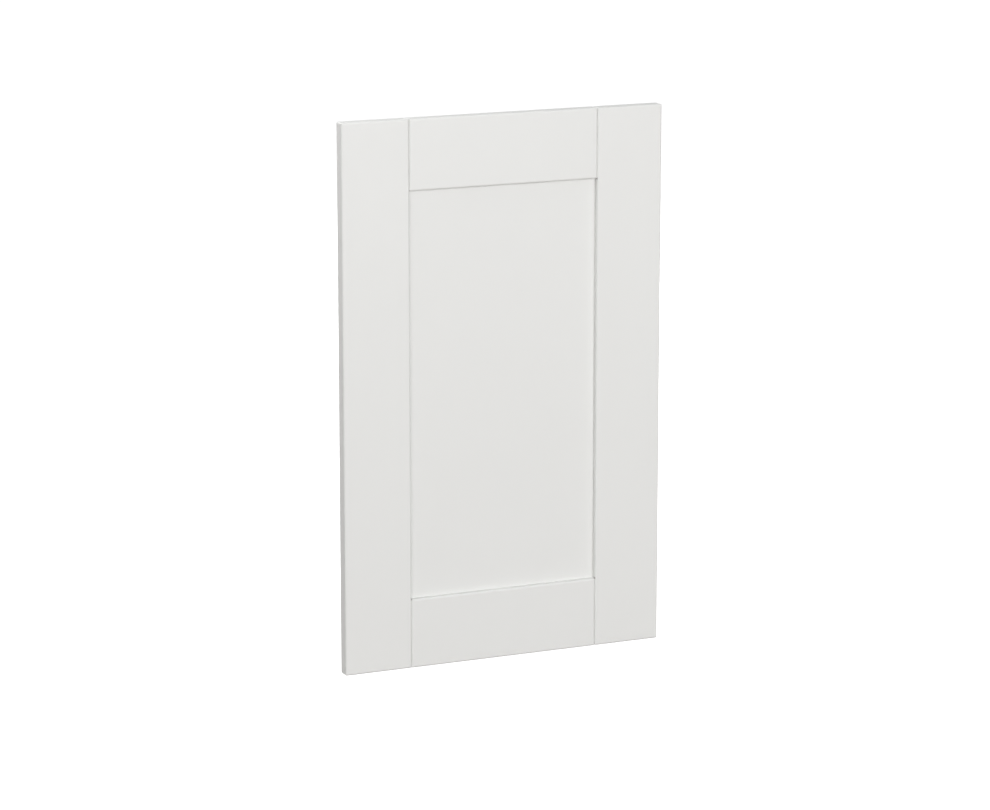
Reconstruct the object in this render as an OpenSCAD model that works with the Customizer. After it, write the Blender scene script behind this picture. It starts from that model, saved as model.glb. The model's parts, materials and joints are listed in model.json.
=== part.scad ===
// Frame-and-panel kitchen cabinet door.
// The front faces -Y, +Z is up, and the origin is at the middle of the bottom edge.

/* [Door] */
// Overall width of the door
door_w = 446; // [396:1:596]
// Overall height of the door
door_h = 716; // [500:1:900]
// Thickness of the stiles and rails
board_t = 18; // [18:0.5:25]

/* [Frame] */
// Width of each upright stile
stile_w = 92; // [75:1:120]
// Width of each level rail
rail_w = 92; // [70:1:140]
// Radius of the eased edges on every stile and rail
arris_r = 2.5; // [1:0.25:3]

/* [Panel] */
// Thickness of the centre panel
panel_t = 6; // [4:0.5:7]
// Depth of the panel's face behind the front of the frame
recess_d = 7; // [5:0.5:8]
// Depth of the panel groove in the stiles and rails
groove_d = 10; // [6:0.5:14]
// Gap left for movement between the panel's edge and the groove's floor
panel_gap = 1; // [0.5:0.25:2]
// Clearance between the panel and each wall of its groove
panel_clear = 0.1; // [0.05:0.05:0.2]

/* [Corner dowels] */
// Diameter of the dowels that pin the corner joints
dowel_d = 8; // [6:0.5:9]
// Length of each dowel
dowel_l = 40; // [30:1:50]
// Chamfer on each end of a dowel
dowel_chamfer = 1; // [0.5:0.25:1.5]
// Distance from a dowel's axis to the rail's outer edge, and to its groove's floor
dowel_inset = 20; // [12:1:25]
// Clearance round each dowel in its bore
dowel_clear = 0.1; // [0.05:0.05:0.2]
// Room for glue past each end of a dowel
glue_gap = 1; // [0.5:0.25:2]

/* [Hinge bores] */
// Diameter of the bore for a concealed hinge's cup
cup_d = 35; // [26:1:35]
// Depth of the cup bore, measured from the back of the door
cup_depth = 12.5; // [10:0.5:13]
// Distance from the cup bore's axis to the door's side
cup_inset = 22; // [20:0.5:24]
// Distance from each cup bore's axis to the nearer end of the door
cup_from_end = 100; // [80:1:140]
// Diameter of the bores for the hinge's two press-in plugs
plug_d = 8; // [5:0.5:10]
// Depth of the plug bores
plug_depth = 12; // [10:0.5:13]
// Distance between the two plug bores of one hinge
plug_pitch = 45; // [45:0.5:52]
// Distance from the line of the plug bores to the cup bore's axis
plug_offset = 9.5; // [5.5:0.5:11]

/* [Hidden] */
$fn = 48;

// Cuts run this far past a face, so that they open it cleanly
over = 1;

front_y = -board_t / 2;
back_y = board_t / 2;

// Clear opening between the stiles and between the rails
open_w = door_w - 2 * stile_w;
open_h = door_h - 2 * rail_w;

// The panel stands in its grooves, short of their floors
panel_in = groove_d - panel_gap;
panel_w = open_w + 2 * panel_in;
panel_h = open_h + 2 * panel_in;
panel_y = front_y + recess_d;

groove_t = panel_t + 2 * panel_clear;
groove_y = panel_y - panel_clear;

// Dowels lie in the middle of the thickness, between the rail's outer edge and its groove
bore_d = dowel_d + 2 * dowel_clear;
bore_half = dowel_l / 2 + glue_gap;
dowel_offsets = [dowel_inset, rail_w - groove_d - dowel_inset];

paint = [0.91, 0.905, 0.89];
panel_paint = [0.9, 0.9, 0.885];
beech = [0.83, 0.68, 0.48];

// Flat outline a by b with its four corners rounded to the eased edge's radius
module eased_outline(a, b) {
    translate([arris_r, 0]) square([a - 2 * arris_r, b]);
    translate([0, arris_r]) square([a, b - 2 * arris_r]);
    for (x = [arris_r, a - arris_r], y = [arris_r, b - arris_r])
        translate([x, y]) circle(r = arris_r);
}

// Bar of width w and height h with all of its edges eased, from its lower left front corner
module eased_bar(w, h) {
    intersection() {
        linear_extrude(h) eased_outline(w, board_t);
        translate([0, board_t, 0]) rotate([90, 0, 0])
            linear_extrude(board_t) eased_outline(w, h);
        rotate([90, 0, 90])
            linear_extrude(w) eased_outline(board_t, h);
    }
}

// Dowel with a chamfer on each end, along X and centred
module dowel() {
    rotate([0, 90, 0]) translate([0, 0, -dowel_l / 2]) {
        cylinder(h = dowel_chamfer, d1 = dowel_d - 2 * dowel_chamfer, d2 = dowel_d);
        translate([0, 0, dowel_chamfer])
            cylinder(h = dowel_l - 2 * dowel_chamfer, d = dowel_d);
        translate([0, 0, dowel_l - dowel_chamfer])
            cylinder(h = dowel_chamfer, d1 = dowel_d, d2 = dowel_d - 2 * dowel_chamfer);
    }
}

// Puts its children at both dowels of the bottom joint and both of the top joint, on the line x
module at_dowels(x) {
    for (offset = dowel_offsets, z = [offset, door_h - offset])
        translate([x, 0, z]) children();
}

// Bore for one dowel, half in the stile and half in the rail
module dowel_bore() {
    rotate([0, 90, 0]) cylinder(h = 2 * bore_half, d = bore_d, center = true);
}

// Cup bore with its two plug bores, from the back of the door, for a hinge on the left side
module hinge_bores() {
    translate([0, back_y, 0]) rotate([-90, 0, 0]) {
        translate([0, 0, -cup_depth]) cylinder(h = cup_depth + over, d = cup_d, $fn = 96);
        for (side = [-1, 1])
            translate([plug_offset, side * plug_pitch / 2, -plug_depth])
                cylinder(h = plug_depth + over, d = plug_d);
    }
}

// Stile on the left: stopped panel groove in its inner edge, and bores for the rails' dowels
module plain_stile() {
    difference() {
        translate([-door_w / 2, front_y, 0]) eased_bar(stile_w, door_h);
        translate([-door_w / 2 + stile_w - groove_d, groove_y, rail_w - groove_d])
            cube([groove_d + over, groove_t, open_h + 2 * groove_d]);
        at_dowels(-open_w / 2) dowel_bore();
    }
}

module left_stile() {
    color(paint) difference() {
        plain_stile();
        for (z = [cup_from_end, door_h - cup_from_end])
            translate([-door_w / 2 + cup_inset, 0, z]) hinge_bores();
    }
}

module right_stile() {
    color(paint) mirror([1, 0, 0]) plain_stile();
}

// Rail at the bottom: its panel groove runs out through both ends
module bottom_rail() {
    color(paint) difference() {
        translate([-open_w / 2, front_y, 0]) eased_bar(open_w, rail_w);
        translate([-open_w / 2 - over, groove_y, rail_w - groove_d])
            cube([open_w + 2 * over, groove_t, groove_d + over]);
        for (x = [-open_w / 2, open_w / 2], z = dowel_offsets)
            translate([x, 0, z]) dowel_bore();
    }
}

module top_rail() {
    translate([0, 0, door_h]) mirror([0, 0, 1]) bottom_rail();
}

module centre_panel() {
    color(panel_paint)
        translate([-panel_w / 2, panel_y, rail_w - panel_in]) cube([panel_w, panel_t, panel_h]);
}

module joint_dowels() {
    color(beech)
        for (x = [-open_w / 2, open_w / 2]) at_dowels(x) dowel();
}

left_stile();
right_stile();
top_rail();
bottom_rail();
centre_panel();
joint_dowels();
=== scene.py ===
# %% [markdown]
# # A frame-and-panel cabinet door
#
# The door is five painted boards: two stiles, two rails and a thin panel that
# sits in grooves. Eight beech dowels pin the corners. The boards come exact from
# the CAD model, so this script gives them their finish, turns the dowels, and
# sets up the floor, the lights and the camera.
#
# Lengths are in metres. +X is to the right as seen from the front, +Y is out of
# the back, and +Z is up.

# %% Load the frame
import json
import math

import bmesh
import bpy
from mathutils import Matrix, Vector


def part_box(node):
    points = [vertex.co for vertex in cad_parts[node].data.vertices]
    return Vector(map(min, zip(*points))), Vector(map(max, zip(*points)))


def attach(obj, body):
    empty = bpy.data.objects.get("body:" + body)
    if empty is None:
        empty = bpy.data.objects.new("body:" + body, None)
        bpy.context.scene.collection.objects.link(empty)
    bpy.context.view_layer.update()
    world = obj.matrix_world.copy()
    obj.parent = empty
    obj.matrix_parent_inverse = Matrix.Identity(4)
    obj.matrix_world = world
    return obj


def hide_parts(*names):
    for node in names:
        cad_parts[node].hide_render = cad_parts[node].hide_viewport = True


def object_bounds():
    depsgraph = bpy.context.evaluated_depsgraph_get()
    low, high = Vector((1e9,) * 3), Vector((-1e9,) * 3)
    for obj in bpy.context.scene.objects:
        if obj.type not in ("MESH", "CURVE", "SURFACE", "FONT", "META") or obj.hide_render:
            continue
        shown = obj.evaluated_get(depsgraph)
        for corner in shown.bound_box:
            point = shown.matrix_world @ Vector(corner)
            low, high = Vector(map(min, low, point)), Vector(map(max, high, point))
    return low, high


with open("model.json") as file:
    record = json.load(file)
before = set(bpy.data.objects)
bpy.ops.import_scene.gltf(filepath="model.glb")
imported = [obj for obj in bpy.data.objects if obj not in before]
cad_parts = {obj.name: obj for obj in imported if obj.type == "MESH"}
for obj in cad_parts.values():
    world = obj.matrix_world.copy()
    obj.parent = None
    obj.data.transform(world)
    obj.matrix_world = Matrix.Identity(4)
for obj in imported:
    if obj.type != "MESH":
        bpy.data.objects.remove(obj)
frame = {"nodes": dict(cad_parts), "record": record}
cad_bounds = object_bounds()
nodes = frame["nodes"]
scene = bpy.context.scene
print("boards and dowels:", sorted(nodes))

# %% [markdown]
# ## Where things are
#
# Every place that the finish and the dowels use below is read from the imported
# boards or from the record's mounts, so the finish stays on the right spot when a
# size of the door changes.

# %% Read the door's main lines
MM = 0.001

door_low, door_high = (Vector(corner) for corner in cad_bounds)
rail_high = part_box("bottom_rail")[1]
back_y = door_high.y
front_y = door_low.y
joint_x = rail_high.x
print(f"door {door_high.x - door_low.x:.3f} x {door_high.z - door_low.z:.3f} m")
print(f"corner joints at x = +-{joint_x:.3f} m, back face at y = {back_y:.3f} m")

# %% [markdown]
# ## Small helpers for node trees
#
# Shader trees and Geometry Nodes trees are built from the same three steps: add
# a node, set its unlinked inputs, and link what feeds it. One helper does all
# three, which keeps each material short enough to read as a recipe.


# %% Helpers
def add_node(tree, kind, settings=None, **inputs):
    """Adds a node, sets its properties, then sets or links its inputs by name."""
    node = tree.nodes.new(kind)
    for key, value in (settings or {}).items():
        setattr(node, key, value)
    for name, value in inputs.items():
        socket = find_input(node, name.replace("_", " "))
        if isinstance(value, bpy.types.NodeSocket):
            tree.links.new(value, socket)
        else:
            socket.default_value = value
    return node


def find_input(node, name):
    """The enabled input of that name; an index after the name picks among equals."""
    words = name.rsplit(" ", 1)
    if len(words) == 2 and words[1].isdigit():
        same = [s for s in node.inputs if s.name == words[0] and s.enabled]
        if same:
            return same[int(words[1])]
    return next(s for s in node.inputs if s.name == name and s.enabled)


def math_node(tree, operation, first, second=None, clamp=False):
    """One step of arithmetic on one or two values; returns its result."""
    values = {"Value_0": first}
    if second is not None:
        values["Value_1"] = second
    settings = {"operation": operation, "use_clamp": clamp}
    return add_node(tree, "ShaderNodeMath", settings, **values).outputs[0]


def mix_colours(tree, factor, first, second):
    """A blend from one colour to another; returns the colour."""
    settings = {"data_type": "RGBA"}
    mixer = add_node(tree, "ShaderNodeMix", settings, Factor=factor, A=first, B=second)
    return mixer.outputs[2]


def flat_length(tree, across, along):
    """The length of a flat arrow from its two parts."""
    arrow = add_node(tree, "ShaderNodeCombineXYZ", X=across, Y=along, Z=0.0)
    length = add_node(
        tree, "ShaderNodeVectorMath", {"operation": "LENGTH"}, Vector_0=arrow.outputs[0])
    return length.outputs["Value"]


def new_group(name, kind, inputs, outputs):
    """A node group with named sockets. Returns the tree, its inputs and its outputs."""
    tree = bpy.data.node_groups.new(name, kind)
    for title, socket_type, default in inputs:
        socket = tree.interface.new_socket(
            title, in_out="INPUT", socket_type=socket_type)
        if default is not None:
            socket.default_value = default
    for title, socket_type in outputs:
        tree.interface.new_socket(title, in_out="OUTPUT", socket_type=socket_type)
    sources = tree.nodes.new("NodeGroupInput")
    results = tree.nodes.new("NodeGroupOutput")
    return tree, sources.outputs, results.inputs


def use_group(tree, group, **inputs):
    """Places a shader group in a tree and sets or links its inputs."""
    return add_node(tree, "ShaderNodeGroup", {"node_tree": group}, **inputs)


def new_material(name):
    """A material with an empty tree and a Principled BSDF joined to its output."""
    material = bpy.data.materials.new(name)
    material.use_nodes = True
    tree = material.node_tree
    tree.nodes.clear()
    output = tree.nodes.new("ShaderNodeOutputMaterial")
    shader = tree.nodes.new("ShaderNodeBsdfPrincipled")
    tree.links.new(shader.outputs["BSDF"], output.inputs["Surface"])
    return material, tree, shader


print("helpers ready")

# %% [markdown]
# ## The ripple of sprayed paint
#
# A sprayed satin paint is never quite flat. The droplets leave an "orange peel"
# of shallow dimples a millimetre or two across, and the film pools into longer,
# gentler waves. Two noises of different size, added together, give both. They
# are a group, because the frame and the panel use the same effect with their
# own strengths.

# %% Group: spray ripple
ripple, given, result = new_group(
    "Spray ripple",
    "ShaderNodeTree",
    [
        ("Vector", "NodeSocketVector", None),
        ("Dimples per Metre", "NodeSocketFloat", 600.0),
        ("Waves per Metre", "NodeSocketFloat", 45.0),
        ("Wave Share", "NodeSocketFloat", 0.5),
    ],
    [("Height", "NodeSocketFloat"), ("Waves", "NodeSocketFloat")],
)
dimples = add_node(
    ripple, "ShaderNodeTexNoise", Vector=given["Vector"],
    Scale=given["Dimples per Metre"], Detail=1.5, Roughness=0.4,
)
waves = add_node(
    ripple, "ShaderNodeTexNoise", Vector=given["Vector"],
    Scale=given["Waves per Metre"], Detail=2.0, Roughness=0.5,
)
mixed = add_node(
    ripple, "ShaderNodeMix", {"data_type": "FLOAT"}, Factor=given["Wave Share"],
    A=dimples.outputs["Fac"], B=waves.outputs["Fac"],
)
ripple.links.new(mixed.outputs["Result"], result["Height"])
ripple.links.new(waves.outputs["Fac"], result["Waves"])
print("group:", ripple.name, [s.name for s in ripple.interface.items_tree])

# %% [markdown]
# ## Where the paint soaks in
#
# The two faces of a fibreboard are hard and take paint evenly. Its edges are cut
# through the softer core, so they drink the paint, dry a little duller and show
# a finer, rougher skin. The mask is read from the surface's own direction: 0 on
# a face that looks to the front or the back, 1 on any edge and on the eased
# arrises between them.

# %% Group: cut edge mask
FLAT_FACE = 0.98
FULL_EDGE = 0.55

cut_edge, given, result = new_group(
    "Cut edge", "ShaderNodeTree",
    [("Normal", "NodeSocketVector", None)],
    [("Mask", "NodeSocketFloat")],
)
normal_parts = add_node(cut_edge, "ShaderNodeSeparateXYZ", Vector=given["Normal"])
facing = math_node(cut_edge, "ABSOLUTE", normal_parts.outputs["Y"])
edge_ramp = add_node(
    cut_edge, "ShaderNodeMapRange", Value=facing,
    From_Min=FLAT_FACE, From_Max=FULL_EDGE, To_Min=0.0, To_Max=1.0,
)
cut_edge.links.new(edge_ramp.outputs["Result"], result["Mask"])
print("group:", cut_edge.name)

# %% [markdown]
# ## Painted shade at each inner corner
#
# Three eased edges meet at each inner corner of the frame and leave a hollow the
# size of a pinhead. The shade in that hollow is painted into the colour as a dark
# dot, a pixel or two wide. A hole could be cut, but the hollow is already in the
# boards, so only the painted shade is added. The mask is a short round plug at
# each of the four corners, on the front and on the back. Folding the coordinates
# with Absolute lets one corner's arithmetic serve all eight.

# %% Group: painted shade at the inner corners
corner_shade_group, given, result = new_group(
    "Inner corner",
    "ShaderNodeTree",
    [
        ("Vector", "NodeSocketVector", None),
        ("Corner X", "NodeSocketFloat", joint_x),
        ("Middle Z", "NodeSocketFloat", (door_low.z + door_high.z) / 2),
        ("Corner Z", "NodeSocketFloat", (door_high.z - door_low.z) / 2 - rail_high.z),
        ("Face Y", "NodeSocketFloat", back_y),
        ("Dot Radius", "NodeSocketFloat", 1.4 * MM),
    ],
    [("Mask", "NodeSocketFloat")],
)
SOFT_RIM = 0.5 * MM
DOT_FROM = 1.0 * MM
DOT_TO = 4.5 * MM

spot = add_node(corner_shade_group, "ShaderNodeSeparateXYZ", Vector=given["Vector"]).outputs
folded_x = math_node(corner_shade_group, "ABSOLUTE", spot["X"])
sideways = math_node(corner_shade_group, "SUBTRACT", folded_x, given["Corner X"])
from_middle = math_node(corner_shade_group, "SUBTRACT", spot["Z"], given["Middle Z"])
folded_z = math_node(corner_shade_group, "ABSOLUTE", from_middle)
upwards = math_node(corner_shade_group, "SUBTRACT", folded_z, given["Corner Z"])
near = add_node(
    corner_shade_group, "ShaderNodeMapRange", {"interpolation_type": "SMOOTHSTEP"},
    Value=flat_length(corner_shade_group, sideways, upwards),
    From_Min=math_node(corner_shade_group, "ADD", given["Dot Radius"], SOFT_RIM),
    From_Max=math_node(corner_shade_group, "SUBTRACT", given["Dot Radius"], SOFT_RIM),
    To_Min=0.0, To_Max=1.0,
).outputs["Result"]
folded_y = math_node(corner_shade_group, "ABSOLUTE", spot["Y"])
depth = math_node(corner_shade_group, "SUBTRACT", given["Face Y"], folded_y)
deep = add_node(
    corner_shade_group, "ShaderNodeMapRange", {"interpolation_type": "SMOOTHSTEP"}, Value=depth,
    From_Min=DOT_FROM - SOFT_RIM, From_Max=DOT_FROM + SOFT_RIM, To_Min=0.0, To_Max=1.0,
).outputs["Result"]
shallow = math_node(corner_shade_group, "LESS_THAN", depth, DOT_TO)
in_layer = math_node(corner_shade_group, "MULTIPLY", deep, shallow)
plug = math_node(corner_shade_group, "MULTIPLY", near, in_layer)
corner_shade_group.links.new(plug, result["Mask"])
print("group:", corner_shade_group.name, f"at x = +-{joint_x:.3f} m")

# %% [markdown]
# ## The paint itself
#
# The colour is a pale warm grey, near white. Its two tones differ by about two
# parts in a hundred, and drift over a hand's width, which is enough to stop the
# board looking like plastic. Roughness carries the satin: about 0.4, duller on
# the cut edges. The ripple goes through a Bump node at a few hundredths of a
# millimetre.
#
# One function makes the paint for the frame and for the panel. The panel is
# sprayed flat on a bench before the door is glued up, so it has less ripple.

# %% Paint recipe
PAINT_LIGHT = (0.797, 0.803, 0.788, 1.0)
PAINT_DEEP = (0.783, 0.788, 0.772, 1.0)
# Painted shade: the colour of the dark dot in the hollow at each inner corner.
PAINTED_CORNER_SHADE = (0.47, 0.46, 0.44, 1.0)
TONE_PER_METRE = 9.0
SATIN_SMOOTHEST = 0.39
SATIN_DULLEST = 0.43
PAINT_SPECULAR = 0.4


def paint(name, ripple_depth, wave_share, edge_dullness):
    """Satin paint on fibreboard, with painted shade at the inner corners. Returns the
    material, its tree, shader and colour.
    """
    material, tree, shader = new_material(name)
    where = tree.nodes.new("ShaderNodeTexCoord").outputs
    tone = add_node(
        tree, "ShaderNodeTexNoise", Vector=where["Object"],
        Scale=TONE_PER_METRE, Detail=3.0, Roughness=0.5,
    )
    coat = mix_colours(tree, tone.outputs["Fac"], PAINT_LIGHT, PAINT_DEEP)
    # Painted shade: a dark dot mixed into the colour at each inner corner.
    dot = use_group(tree, corner_shade_group, Vector=where["Object"])
    colour = mix_colours(tree, dot.outputs["Mask"], coat, PAINTED_CORNER_SHADE)
    skin = use_group(tree, ripple, Vector=where["Object"], Wave_Share=wave_share)
    edge = use_group(tree, cut_edge, Normal=where["Normal"])
    duller = math_node(tree, "MULTIPLY", edge.outputs["Mask"], edge_dullness)
    satin = add_node(
        tree, "ShaderNodeMapRange", Value=skin.outputs["Waves"],
        From_Min=0.3, From_Max=0.7, To_Min=SATIN_SMOOTHEST, To_Max=SATIN_DULLEST,
    ).outputs["Result"]
    roughness = math_node(tree, "ADD", satin, duller, clamp=True)
    bump = add_node(
        tree, "ShaderNodeBump", Strength=1.0, Distance=ripple_depth,
        Height=skin.outputs["Height"],
    )
    tree.links.new(colour, shader.inputs["Base Color"])
    tree.links.new(roughness, shader.inputs["Roughness"])
    tree.links.new(bump.outputs["Normal"], shader.inputs["Normal"])
    shader.inputs["Specular IOR Level"].default_value = PAINT_SPECULAR
    return material, tree, shader, colour


FRAME_COAT = {"ripple_depth": 0.05 * MM, "wave_share": 0.5, "edge_dullness": 0.12}
PANEL_COAT = {"ripple_depth": 0.04 * MM, "wave_share": 0.6, "edge_dullness": 0.0}

frame_paint = paint("Frame paint", **FRAME_COAT)[0]
panel_paint = paint("Panel paint", **PANEL_COAT)[0]
print("materials:", frame_paint.name, "and", panel_paint.name)

# %% [markdown]
# ## Bare board in the hinge bores
#
# The hinge bores are drilled after painting, so their walls and floors show the
# bare brown fibreboard. The CAD stile is one mesh with one material slot, so the
# bare board is a second look in the same material, shown by a mask. A point is
# in a bore when it lies within the bore's radius of its axis and between the
# bore's floor and the back face. Axes, radii and depths come from the mounts.

# %% Find the bores
MOUTH = 0.1 * MM
WALL = 0.25 * MM
PLUG_DEPTH = 12 * MM

bores = []
for mount in frame["record"]["mounts"]:
    x, _, z = mount["pos_m"]
    dims = mount["dims"]
    if mount["kind"] == "bore":
        bores.append((x, z, dims["r_mm"] * MM, dims["length_mm"] * MM))
    if mount["kind"] == "bolt_pattern":
        half = dims["spacing_y_mm"] / 2 * MM
        for side in (-half, half):
            bores.append((x, z + side, dims["hole_r_mm"] * MM, PLUG_DEPTH))
print(len(bores), "bores in the back of the door")


# %% Paint with bare bores
BOARD_LIGHT = (0.42, 0.29, 0.17, 1.0)
BOARD_DARK = (0.27, 0.17, 0.09, 1.0)
RING_PITCH = 1.1 * MM
RING_SHARE = 0.12
FIBRES_PER_METRE = 1400.0
BARE_ROUGHNESS = 0.92


def bore_mask(tree, parts, x, z, radius, depth):
    """1 inside one bore, and 0 elsewhere; also the distance from the bore's axis."""
    across = math_node(tree, "SUBTRACT", parts.outputs["X"], x)
    along = math_node(tree, "SUBTRACT", parts.outputs["Z"], z)
    distance = flat_length(tree, across, along)
    within = math_node(tree, "LESS_THAN", distance, radius + WALL)
    below = math_node(tree, "LESS_THAN", parts.outputs["Y"], back_y - MOUTH)
    above = math_node(tree, "GREATER_THAN", parts.outputs["Y"], back_y - depth - WALL)
    between = math_node(tree, "MULTIPLY", below, above)
    inside = math_node(tree, "MULTIPLY", within, between)
    return inside, distance


def add_bare_bores(tree, shader, paint_colour):
    """Mixes bare board into a paint's colour and roughness inside every bore."""
    where = tree.nodes.new("ShaderNodeTexCoord").outputs
    parts = add_node(tree, "ShaderNodeSeparateXYZ", Vector=where["Object"])
    mask, ring_distance = None, None
    for x, z, radius, depth in bores:
        inside, distance = bore_mask(tree, parts, x, z, radius, depth)
        reach = math_node(tree, "MULTIPLY", inside, distance)
        mask = inside if mask is None else math_node(tree, "MAXIMUM", mask, inside)
        ring_distance = reach if ring_distance is None else math_node(
            tree, "MAXIMUM", ring_distance, reach)
    fibres = add_node(
        tree, "ShaderNodeTexNoise", Vector=where["Object"],
        Scale=FIBRES_PER_METRE, Detail=4.0, Roughness=0.65,
    )
    turns = math_node(tree, "MULTIPLY", ring_distance, math.tau / RING_PITCH)
    rings = math_node(tree, "MULTIPLY", math_node(tree, "SINE", turns), RING_SHARE)
    speckle = math_node(tree, "ADD", fibres.outputs["Fac"], rings, clamp=True)
    board = mix_colours(tree, speckle, BOARD_DARK, BOARD_LIGHT)
    colour = mix_colours(tree, mask, paint_colour, board)
    satin = shader.inputs["Roughness"].links[0].from_socket
    roughness = add_node(
        tree, "ShaderNodeMix", {"data_type": "FLOAT"}, Factor=mask,
        A=satin, B=BARE_ROUGHNESS,
    ).outputs["Result"]
    tree.links.new(colour, shader.inputs["Base Color"])
    tree.links.new(roughness, shader.inputs["Roughness"])


bored_paint, bored_tree, bored_shader, bored_colour = paint(
    "Frame paint with bored back", **FRAME_COAT)
add_bare_bores(bored_tree, bored_shader, bored_colour)
print("material:", bored_paint.name, "with", len(bored_tree.nodes), "nodes")


# %% Give the boards their paint
def dress(node_name, material):
    """Puts one material in every slot of a CAD board."""
    for slot in nodes[node_name].material_slots:
        slot.material = material


dress("left_stile", bored_paint)
for name in ("right_stile", "top_rail", "bottom_rail"):
    dress(name, frame_paint)
dress("centre_panel", panel_paint)
print("boards painted")

# %% [markdown]
# ## Fluted dowels
#
# A joint dowel is a beech peg with a chamfer on each end and straight flutes
# along it, which let the glue and the trapped air out. All eight are the same,
# so one Geometry Nodes tree makes them: it sweeps a fluted outline along a short
# line, scales the outline at each point of that line, and puts a copy on each of
# eight points. The points are the vertices of the object itself, so the tree
# never needs to know where the joints are.
#
# Known fault: only the two ends should be scaled down, for the chamfers. The
# sweep reads Spline Parameter again after the line's points have moved, finds
# all four of them near an end, and scales them all. The dowels are therefore as
# thin along their whole length as at their tips: 6 mm, and not 8 mm. Reading the
# Position of each point, and not its Factor, would put that right.


# %% Find the middle of each dowel
MERGE_DISTANCE = 0.01 * MM


def piece_centres(source):
    """The centre of each loose piece of a mesh, from a merged copy of it."""
    work = bmesh.new()
    work.from_mesh(source.data)
    bmesh.ops.remove_doubles(work, verts=work.verts, dist=MERGE_DISTANCE)
    left, centres = set(work.verts), []
    while left:
        stack, piece = [left.pop()], []
        while stack:
            vertex = stack.pop()
            piece.append(vertex.co.copy())
            for edge in vertex.link_edges:
                other = edge.other_vert(vertex)
                if other in left:
                    left.remove(other)
                    stack.append(other)
        low = Vector(map(min, *piece))
        high = Vector(map(max, *piece))
        centres.append((low + high) / 2)
        size = high - low
    work.free()
    return sorted(centres, key=lambda c: tuple(round(v, 5) for v in c)), size


dowel_centres, dowel_size = piece_centres(nodes["joint_dowels"])
print(len(dowel_centres), "dowels of", [round(v / MM, 1) for v in dowel_size], "mm")

# %% [markdown]
# ## Beech
#
# Beech is a pale pinkish brown with short dark flecks along the grain. The
# grain is a noise stretched along X, the dowel's own length, by a Mapping node.

# %% Beech material
BEECH_DARK = (0.50, 0.33, 0.19, 1.0)
BEECH_LIGHT = (0.68, 0.48, 0.30, 1.0)
GRAIN_PER_METRE = (120.0, 1500.0, 1500.0)

beech, tree, shader = new_material("Beech")
where = tree.nodes.new("ShaderNodeTexCoord").outputs
stretched = add_node(
    tree, "ShaderNodeMapping", Vector=where["Object"], Scale=GRAIN_PER_METRE)
grain = add_node(
    tree, "ShaderNodeTexNoise", Vector=stretched.outputs["Vector"],
    Scale=1.0, Detail=4.0, Roughness=0.6,
)
wood = mix_colours(tree, grain.outputs["Fac"], BEECH_DARK, BEECH_LIGHT)
rough = add_node(
    tree, "ShaderNodeMapRange", Value=grain.outputs["Fac"], To_Min=0.55, To_Max=0.75)
tree.links.new(wood, shader.inputs["Base Color"])
tree.links.new(rough.outputs["Result"], shader.inputs["Roughness"])
print("material:", beech.name)

# %% Geometry Nodes: fluted dowels on points
POINTS_PER_FLUTE = 8
LINE_POINTS = 4

dowel_tree, given, result = new_group(
    "Fluted dowels",
    "GeometryNodeTree",
    [
        ("Places", "NodeSocketGeometry", None),
        ("Length", "NodeSocketFloat", 40 * MM),
        ("Diameter", "NodeSocketFloat", 8 * MM),
        ("Flutes", "NodeSocketInt", 16),
        ("Flute Depth", "NodeSocketFloat", 0.3 * MM),
        ("Chamfer", "NodeSocketFloat", 1 * MM),
        ("Wood", "NodeSocketMaterial", None),
    ],
    [("Dowels", "NodeSocketGeometry")],
)
radius = math_node(dowel_tree, "DIVIDE", given["Diameter"], 2.0)

# The outline: a circle whose radius dips once for each flute
position_round = add_node(dowel_tree, "GeometryNodeSplineParameter").outputs["Factor"]
turns = math_node(dowel_tree, "MULTIPLY", position_round, given["Flutes"])
angle = math_node(dowel_tree, "MULTIPLY", turns, math.tau)
swing = math_node(dowel_tree, "COSINE", angle)
hollow = math_node(dowel_tree, "POWER", math_node(dowel_tree, "MAXIMUM", swing, 0.0), 2.0)
depth = math_node(dowel_tree, "MULTIPLY", hollow, given["Flute Depth"])
dip = math_node(dowel_tree, "DIVIDE", depth, radius)
keep = math_node(dowel_tree, "SUBTRACT", 1.0, dip)
circle = add_node(
    dowel_tree, "GeometryNodeCurvePrimitiveCircle", Radius=radius,
    Resolution=math_node(dowel_tree, "MULTIPLY", given["Flutes"], POINTS_PER_FLUTE),
)
here = add_node(dowel_tree, "GeometryNodeInputPosition").outputs["Position"]
dipped = add_node(
    dowel_tree, "ShaderNodeVectorMath", {"operation": "SCALE"}, Vector_0=here, Scale=keep)
outline = add_node(
    dowel_tree, "GeometryNodeSetPosition",
    Geometry=circle.outputs["Curve"], Position=dipped.outputs["Vector"],
)

# The line: its two middle points stand one chamfer in from the ends. They are
# found by Factor, which works here, before the points have moved
half = math_node(dowel_tree, "DIVIDE", given["Length"], 2.0)
line = add_node(
    dowel_tree, "GeometryNodeCurvePrimitiveLine",
    Start=add_node(dowel_tree, "ShaderNodeCombineXYZ", X=math_node(
        dowel_tree, "MULTIPLY", half, -1.0)).outputs["Vector"],
    End=add_node(dowel_tree, "ShaderNodeCombineXYZ", X=half).outputs["Vector"],
)
points = add_node(
    dowel_tree, "GeometryNodeResampleCurve",
    Curve=line.outputs["Curve"], Count=LINE_POINTS,
)
along = math_node(
    dowel_tree, "SUBTRACT",
    add_node(dowel_tree, "GeometryNodeSplineParameter").outputs["Factor"], 0.5)
middle = math_node(dowel_tree, "LESS_THAN", math_node(dowel_tree, "ABSOLUTE", along), 0.4)
step_in = math_node(dowel_tree, "MULTIPLY", middle, given["Chamfer"])
set_in = math_node(dowel_tree, "SUBTRACT", half, step_in)
end_x = math_node(dowel_tree, "MULTIPLY", math_node(dowel_tree, "SIGN", along), set_in)
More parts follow.
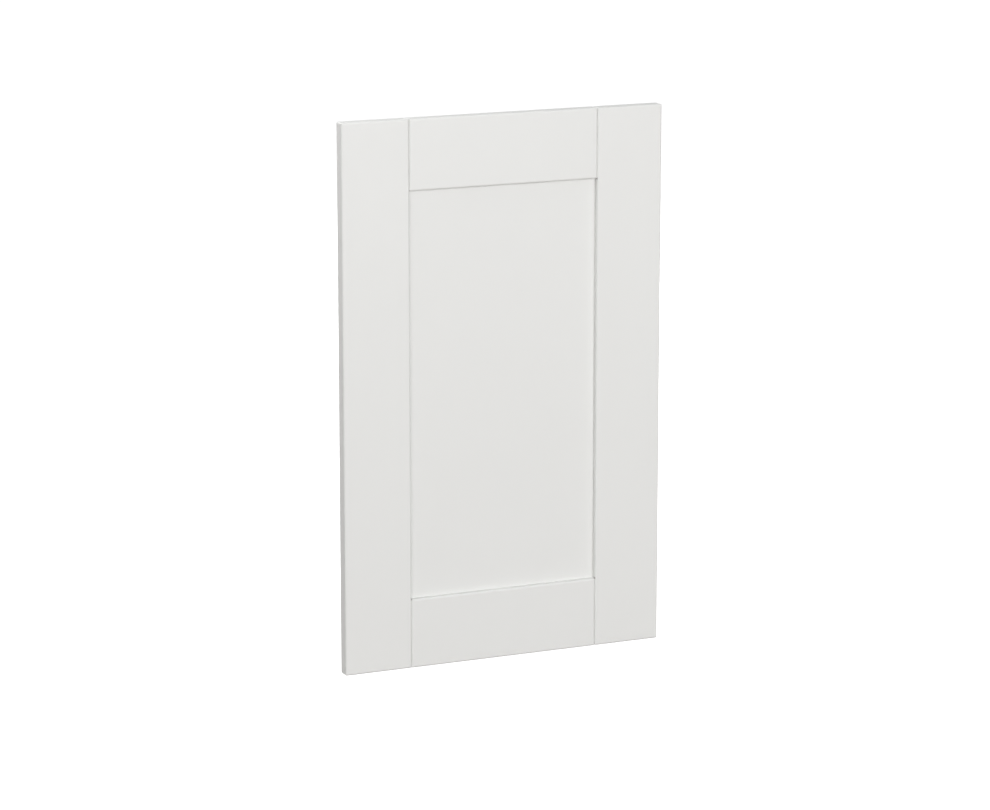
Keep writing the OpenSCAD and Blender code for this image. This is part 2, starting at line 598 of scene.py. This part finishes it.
spine = add_node(
    dowel_tree, "GeometryNodeSetPosition", Geometry=points.outputs["Curve"],
    Position=add_node(dowel_tree, "ShaderNodeCombineXYZ", X=end_x).outputs["Vector"],
)
taper = math_node(dowel_tree, "DIVIDE", given["Chamfer"], radius)
end_size = math_node(dowel_tree, "SUBTRACT", 1.0, taper)
size = add_node(
    dowel_tree, "ShaderNodeMix", {"data_type": "FLOAT"}, Factor=middle, A=end_size, B=1.0,
).outputs["Result"]

# The sweep, one copy for each place, made real and given its wood. The scale is
# worked out again here, on the moved line, which is the known fault above
dowel = add_node(
    dowel_tree, "GeometryNodeCurveToMesh", Curve=spine.outputs["Geometry"],
    Profile_Curve=outline.outputs["Geometry"], Scale=size, Fill_Caps=True,
)
copies = add_node(
    dowel_tree, "GeometryNodeInstanceOnPoints",
    Points=given["Places"], Instance=dowel.outputs["Mesh"],
)
real = add_node(
    dowel_tree, "GeometryNodeRealizeInstances", Geometry=copies.outputs["Instances"])
painted = add_node(
    dowel_tree, "GeometryNodeSetMaterial",
    Geometry=real.outputs["Geometry"], Material=given["Wood"],
)
dowel_tree.links.new(painted.outputs["Geometry"], result["Dowels"])
print("tree:", dowel_tree.name, "with", len(dowel_tree.nodes), "nodes")


# %% Run the tree and keep its mesh
def grow(name, places, tree, body, **values):
    """Runs a tree on a mesh of points and returns the plain mesh object it makes."""
    seed_mesh = bpy.data.meshes.new(name + "_places")
    seed_mesh.from_pydata(places, [], [])
    grower = bpy.data.objects.new(name + "_places", seed_mesh)
    scene.collection.objects.link(grower)
    modifier = grower.modifiers.new(tree.name, "NODES")
    modifier.node_group = tree
    identifiers = {item.name: item.identifier for item in tree.interface.items_tree}
    for title, value in values.items():
        modifier[identifiers[title.replace("_", " ")]] = value
    evaluated = grower.evaluated_get(bpy.context.evaluated_depsgraph_get())
    mesh = bpy.data.meshes.new_from_object(evaluated)
    grower.modifiers.clear()
    bpy.data.objects.remove(grower)
    piece = bpy.data.objects.new(name, mesh)
    scene.collection.objects.link(piece)
    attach(piece, body)
    return piece


FLUTES = 16
FLUTE_DEPTH = 0.3 * MM
DOWEL_CHAMFER = 1.0 * MM

dowels = grow(
    "fluted_dowels", dowel_centres, dowel_tree, "root",
    Length=dowel_size.x, Diameter=dowel_size.z, Flutes=FLUTES,
    Flute_Depth=FLUTE_DEPTH, Chamfer=DOWEL_CHAMFER, Wood=beech,
)
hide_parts("joint_dowels")
print("dowels:", len(dowels.data.polygons), "faces")

# %% [markdown]
# ## Floor and background
#
# The photo has a plain white background. The floor is one large plane under the
# door. What the camera sees of it is white, with the door's shadow kept; what
# the light sees of it is a mid grey, because a white floor would throw so much
# light up that the lower half of the door would lose its shading.

# %% Floor and world
FLOOR_SIZE = 60.0
FLOOR_GREY = (0.32, 0.29, 0.28, 1.0)
FLOOR_WHITE = (0.90, 0.90, 0.90, 1.0)
FLOOR_LIFT = 0.84
SKY = (0.23, 0.23, 0.23, 1.0)
SHOWN_WHITE = (1.0, 1.0, 1.0, 1.0)


def seen_directly(tree):
    """1 for what the camera, a reflection or a clear material sees, and 0 for light."""
    light_path = tree.nodes.new("ShaderNodeLightPath").outputs
    seen = math_node(
        tree, "ADD", light_path["Is Camera Ray"], light_path["Is Glossy Ray"], clamp=True)
    return math_node(tree, "ADD", seen, light_path["Is Transmission Ray"], clamp=True)


floor_material = bpy.data.materials.new("Studio floor")
floor_material.use_nodes = True
tree = floor_material.node_tree
tree.nodes.clear()
white = add_node(tree, "ShaderNodeBsdfDiffuse", Color=FLOOR_WHITE)
lift = add_node(tree, "ShaderNodeEmission", Strength=FLOOR_LIFT)
shown = tree.nodes.new("ShaderNodeAddShader")
tree.links.new(white.outputs[0], shown.inputs[0])
tree.links.new(lift.outputs[0], shown.inputs[1])
grey = add_node(tree, "ShaderNodeBsdfDiffuse", Color=FLOOR_GREY)
choose = tree.nodes.new("ShaderNodeMixShader")
tree.links.new(seen_directly(tree), choose.inputs[0])
tree.links.new(grey.outputs[0], choose.inputs[1])
tree.links.new(shown.outputs[0], choose.inputs[2])
surface = tree.nodes.new("ShaderNodeOutputMaterial")
tree.links.new(choose.outputs[0], surface.inputs["Surface"])

half_floor = FLOOR_SIZE / 2
floor_mesh = bpy.data.meshes.new("studio_floor")
floor_mesh.from_pydata(
    [(-half_floor, -half_floor, 0), (half_floor, -half_floor, 0),
     (half_floor, half_floor, 0), (-half_floor, half_floor, 0)],
    [], [(0, 1, 2, 3)],
)
floor_mesh.materials.append(floor_material)
floor = bpy.data.objects.new("studio_floor", floor_mesh)
scene.collection.objects.link(floor)

world = bpy.data.worlds.new("Studio")
scene.world = world
world.use_nodes = True
tree = world.node_tree
tree.nodes.clear()
sky_colour = mix_colours(tree, seen_directly(tree), SKY, SHOWN_WHITE)
background = add_node(tree, "ShaderNodeBackground", Color=sky_colour)
surface = tree.nodes.new("ShaderNodeOutputWorld")
tree.links.new(background.outputs[0], surface.inputs["Surface"])
print("floor and world ready")

# %% [markdown]
# ## Soft studio light
#
# An even dim sky leaves soft dark lines in the grooves and in the corners of
# the recess. Five soft boxes do the rest. One stands before the door and lights
# the front almost evenly. A very large one stands far off to the left, so it
# reaches into the recess from that side without a gradient. A third hangs up on
# the left, close to the door and nearly in its plane, so the left edge gets
# lighter towards its top, as it does in the photo, and the front takes little of
# it. Two more stand behind, for the back and the right edge, which the photo
# doesn't show.


# %% Lights
def soft_box(name, place, target, size, watts):
    """A square area light at a place, turned to face a target."""
    lamp = bpy.data.lights.new(name, "AREA")
    lamp.shape = "SQUARE"
    lamp.size = size
    lamp.energy = watts
    holder = bpy.data.objects.new(name, lamp)
    holder.location = place
    aim = Vector(target) - Vector(place)
    holder.rotation_euler = aim.to_track_quat("-Z", "Y").to_euler()
    holder.visible_camera = False
    scene.collection.objects.link(holder)
    return holder


door_centre = (door_low + door_high) / 2
soft_box("front_box", (1.3, -5.2, 1.3), door_centre, 2.8, 152.0)
soft_box("far_box", (-5.5, -7.0, 3.2), door_centre, 5.0, 268.0)
soft_box("left_box", (-0.8, 0.05, 1.6), door_centre, 1.1, 7.0)
soft_box("back_box", (-0.3, 3.6, 1.2), door_centre, 1.4, 64.0)
soft_box("right_box", (2.4, 2.0, 0.9), door_centre, 1.2, 36.0)
print("lights ready")

# %% [markdown]
# ## The camera
#
# The photo looks at the door from its left and from slightly above, with a long
# lens. The camera is placed by what a photographer would say: what it aims at,
# from which side, how high, how far away, and through which lens.

# %% Camera
AIM = Vector((-0.0134, front_y, 0.3385))
FROM_LEFT = math.radians(23.925)
FROM_ABOVE = math.radians(12.277)
DISTANCE = 4.7713
LENS_MM = 134.66
SENSOR_MM = 36.0
FAR_CLIP = 200.0

look = Vector((
    math.sin(FROM_LEFT) * math.cos(FROM_ABOVE),
    math.cos(FROM_LEFT) * math.cos(FROM_ABOVE),
    -math.sin(FROM_ABOVE),
))
camera_data = bpy.data.cameras.new("Camera")
camera_data.lens = LENS_MM
camera_data.sensor_width = SENSOR_MM
camera_data.clip_end = FAR_CLIP
camera = bpy.data.objects.new("Camera", camera_data)
camera.location = AIM - look * DISTANCE
camera.rotation_euler = look.to_track_quat("-Z", "Y").to_euler()
scene.collection.objects.link(camera)
scene.camera = camera
scene.view_settings.view_transform = "Standard"
print("camera at", [round(v, 3) for v in camera.location])
